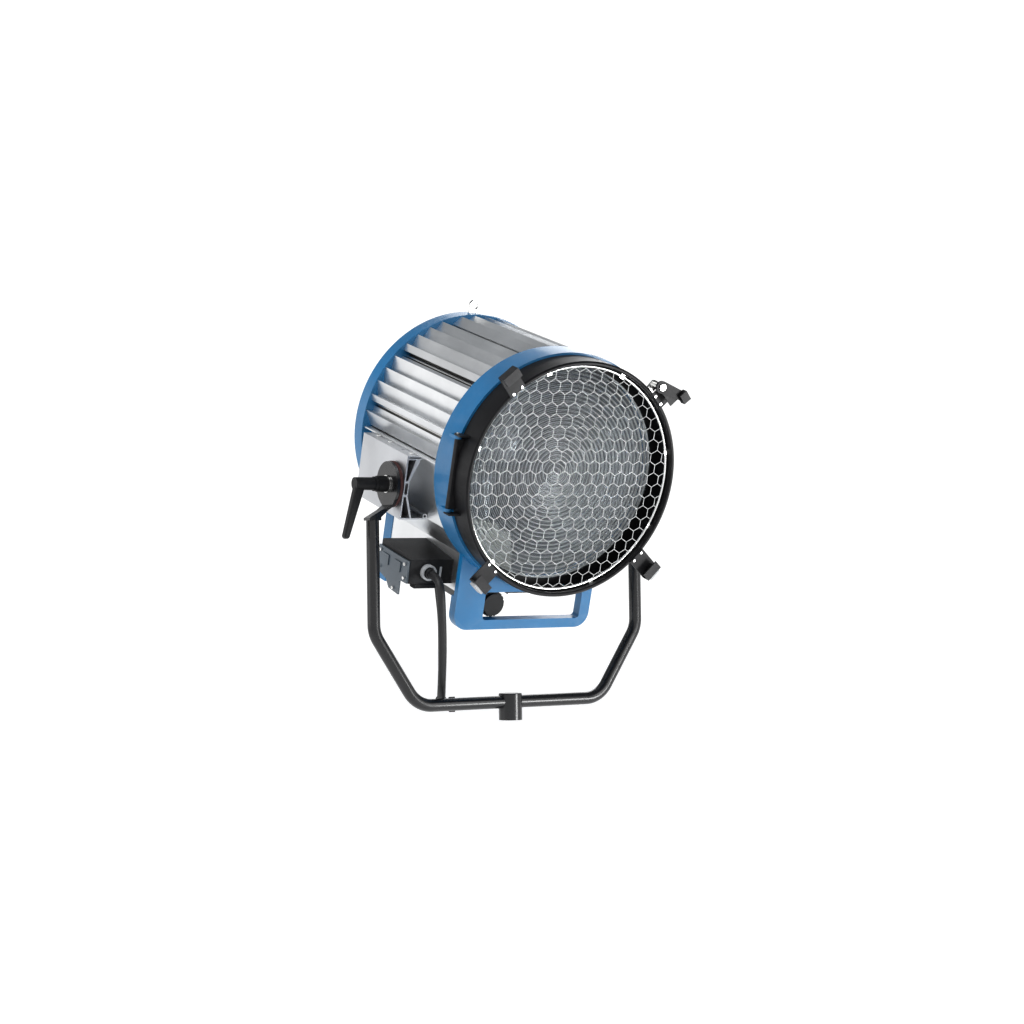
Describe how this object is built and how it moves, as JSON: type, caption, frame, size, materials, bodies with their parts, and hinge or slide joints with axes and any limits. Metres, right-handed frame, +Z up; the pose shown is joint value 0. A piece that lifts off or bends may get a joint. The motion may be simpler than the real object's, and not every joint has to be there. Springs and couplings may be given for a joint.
{
  "type": "fresnel spotlight",
  "caption": "Studio fresnel spotlight: louvred drum head with hinged lens door and wire guard, tilting in a bent tube yoke with a spigot socket, with its rubber mains cable.",
  "frame": {"origin": "centre of the mouth of the spigot socket under the yoke", "axes": "+Z up the spigot, lens looking along -Y, tilt axis along X; at rest the head is tilted 17.45 degrees front down"},
  "size_m": [0.6753, 0.6783, 0.8418],
  "materials": {
    "blue_paint": "satin powder coat",
    "silver_skin": "satin anodised",
    "rail_alu": "extruded, satin anodised",
    "black_paint": "gloss black",
    "door_black": "satin black",
    "black_plastic": "matt moulded",
    "grey_plastic": "matt moulded",
    "cover_grey": "satin grey",
    "bright_steel": "zinc bright",
    "lens_glass": "clear, stepped",
    "bulb_glass": "clear",
    "mirror_alu": "polished",
    "liner_steel": "mill finish",
    "friction": "fibre disc",
    "cable_rubber": "matt rubber",
    "ceramic": "glazed ceramic",
    "tungsten": "drawn wire",
    "tie_strap": "woven strap"
  },
  "bodies": {
    "yoke": {"yoke_tube": "black_paint", "spigot_sleeve": "black_paint", "spigot_screw": "bright_steel", "yoke_plates": "black_paint", "cable_loop": "cable_rubber", "cable_clip": "black_plastic"},
    "head": {"pivot_flanges": "black_paint", "friction_discs": "friction", "tilt_studs": "bright_steel", "pivot_washers": "bright_steel", "front_frame": "blue_paint", "rear_cover": "blue_paint", "eye_lug": "bright_steel", "louvres_upper": "silver_skin", "louvres_middle": "silver_skin", "louvres_lower": "silver_skin", "louvres_top": "silver_skin", "heat_liner": "liner_steel", "tie_rods": "bright_steel", "side_skins": "silver_skin", "rails": "rail_alu", "lower_skins": "silver_skin", "floor_plate": "silver_skin", "spindle_channel": "black_paint", "hinge_pin": "bright_steel", "release_housing": "black_plastic", "guide_rods": "bright_steel", "connector_box": "black_plastic", "box_cover": "cover_grey", "cable_gland": "grey_plastic", "strain_relief": "cable_rubber", "cable_drop": "cable_rubber", "cable_rise": "cable_rubber", "cable_coil": "cable_rubber", "cable_tail": "cable_rubber", "power_plug": "black_plastic", "coil_ties": "tie_strap"},
    "lens_door": {"door_ring": "door_black", "lens_cell": "door_black", "lens_retainer": "bright_steel", "fresnel_lens": "lens_glass", "hinge_leaf": "door_black", "guard_ring": "bright_steel", "guard_mesh": "bright_steel", "guard_clips": "bright_steel", "brackets": "door_black", "bracket_pads": "grey_plastic", "bracket_rivets": "bright_steel", "lock_stud": "bright_steel"},
    "tilt_lever": {"tilt_lever": "black_plastic"},
    "lock_arm": {"lock_arm": "door_black"},
    "release_button": {"release_button": "black_plastic"},
    "focus_spindle": {"focus_spindle": "bright_steel", "focus_knobs": "black_plastic"},
    "carriage": {"carriage": "rail_alu", "lamp_socket": "ceramic", "lamp_globe": "bulb_glass", "lamp_cap": "ceramic", "filament": "tungsten", "reflector": "mirror_alu"}
  },
  "joints": [
    {"name": "head_tilt", "type": "hinge", "parent": "yoke", "child": "head", "pos_m": [0, 0, 0.4615], "axis": [1, 0, 0], "range_deg": [-77, 32]},
    {"name": "door_hinge", "type": "hinge", "parent": "head", "child": "lens_door", "pos_m": [-0.232, -0.19053, 0.47237], "axis": [0, 0.2999, -0.954], "range_deg": [0, 110]},
    {"name": "lever_turn", "type": "hinge", "parent": "head", "child": "tilt_lever", "pos_m": [-0.3, 0, 0.4615], "axis": [1, 0, 0], "range_deg": [-60, 60]},
    {"name": "lock_swing", "type": "hinge", "parent": "lens_door", "child": "lock_arm", "pos_m": [0.14899, -0.32055, 0.63422], "axis": [0, -0.954, -0.2999], "range_deg": [-90, 0]},
    {"name": "release_push", "type": "slide", "parent": "head", "child": "release_button", "axis": [-1, 0, 0], "range_m": [0, 0.004], "stiffness_N_per_m": 600},
    {"name": "focus_travel", "type": "slide", "parent": "head", "child": "carriage", "axis": [0, -0.954, -0.2999], "range_m": [-0.06, 0.05]},
    {"name": "focus_turn", "type": "hinge", "parent": "head", "child": "focus_spindle", "pos_m": [-0.061, 0.06312, 0.26069], "axis": [0, -0.954, -0.2999], "range_deg": [-800, 800]}
  ],
  "couplings": [
    {"joint": "focus_turn", "follows": "focus_travel", "rad_per_m": 209.44}
  ]
}
